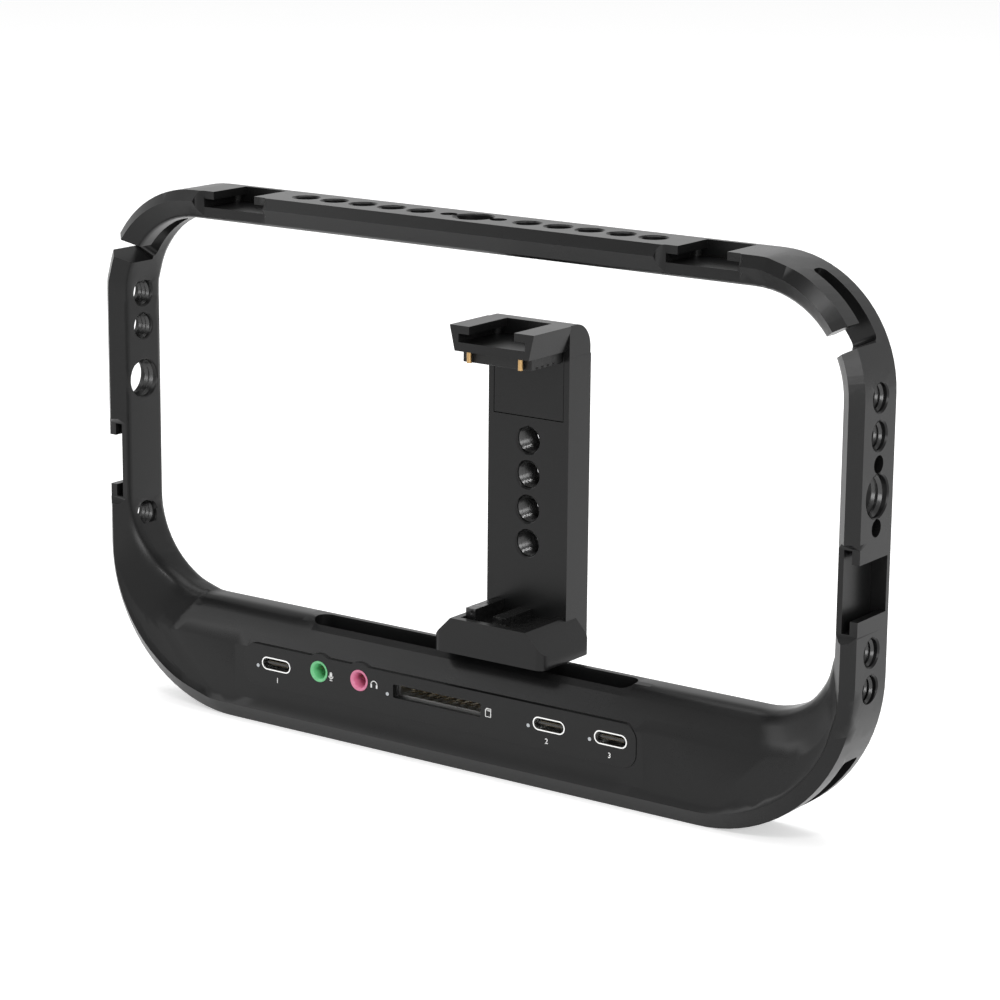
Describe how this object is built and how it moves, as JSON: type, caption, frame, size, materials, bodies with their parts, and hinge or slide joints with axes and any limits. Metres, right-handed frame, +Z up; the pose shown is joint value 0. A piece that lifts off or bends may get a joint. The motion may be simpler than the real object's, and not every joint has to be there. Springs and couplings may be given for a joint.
{
  "type": "phone cage",
  "caption": "Ring-shaped phone cage with tapped holes and cold shoes, a sliding spring-loaded phone clamp and a port hub in its lower bar.",
  "frame": {"origin": "middle of the flat underside of the lower bar, in the plane of the threaded holes' axes", "axes": "+X to the right seen from the port side, +Y away from the port side, +Z up"},
  "size_m": [0.214, 0.0275, 0.1304],
  "materials": {
    "anodised_black": "bead-blasted black anodised",
    "panel_black": "fine matt moulded plastic",
    "jack_green": "moulded green plastic",
    "jack_pink": "moulded pink plastic",
    "contact_gold": "gold flash",
    "socket_steel": "stamped steel",
    "usb_steel": "drawn steel",
    "tongue_black": "moulded plastic",
    "light_white": "frosted clear plastic",
    "board_green": "solder mask on glass fibre",
    "chip_black": "moulded chip package",
    "pad_blue": "soft thermal pad",
    "screw_steel": "nickel plated",
    "screw_black": "black oxide",
    "nut_steel": "machined",
    "bush_brass": "turned brass",
    "rod_steel": "ground steel",
    "spring_steel": "spring wire",
    "rubber_black": "moulded rubber"
  },
  "bodies": {
    "cage": {"cage_frame": "anodised_black", "port_panel": "panel_black", "microphone_jack": "jack_green", "headphone_jack": "jack_pink", "jack_contacts": "contact_gold", "card_socket": "socket_steel", "card_contacts": "contact_gold", "light_pipes": "light_white", "hub_board": "board_green", "hub_chips": "chip_black", "shield_can": "socket_steel", "thermal_pad": "pad_blue", "channel_divider": "socket_steel", "divider_screws": "screw_steel", "board_screws": "screw_steel", "bottom_cover": "anodised_black", "cover_screws": "screw_black", "usb_shell_1": "usb_steel", "usb_tongue_1": "tongue_black", "usb_shell_2": "usb_steel", "usb_tongue_2": "tongue_black", "usb_shell_3": "usb_steel", "usb_tongue_3": "tongue_black"},
    "clamp": {"clamp_body": "anodised_black", "lower_jaw_pad": "rubber_black", "base_screws": "screw_black", "slide_nut": "nut_steel", "guide_bushes": "bush_brass", "return_springs": "spring_steel"},
    "jaw": {"upper_jaw": "anodised_black", "upper_jaw_pad": "rubber_black", "slider_plate": "anodised_black", "guide_rods": "rod_steel", "rod_stops": "rod_steel", "pad_pins": "bush_brass"}
  },
  "joints": [
    {"name": "clamp_slide", "type": "slide", "parent": "cage", "child": "clamp", "axis": [1, 0, 0], "range_m": [-0.0499, 0.0297]},
    {"name": "jaw_slide", "type": "slide", "parent": "clamp", "child": "jaw", "axis": [0, 0, 1], "range_m": [0, 0.017], "stiffness_N_per_m": 250, "springref_m": -0.012, "deforming": ["return_springs"]}
  ]
}
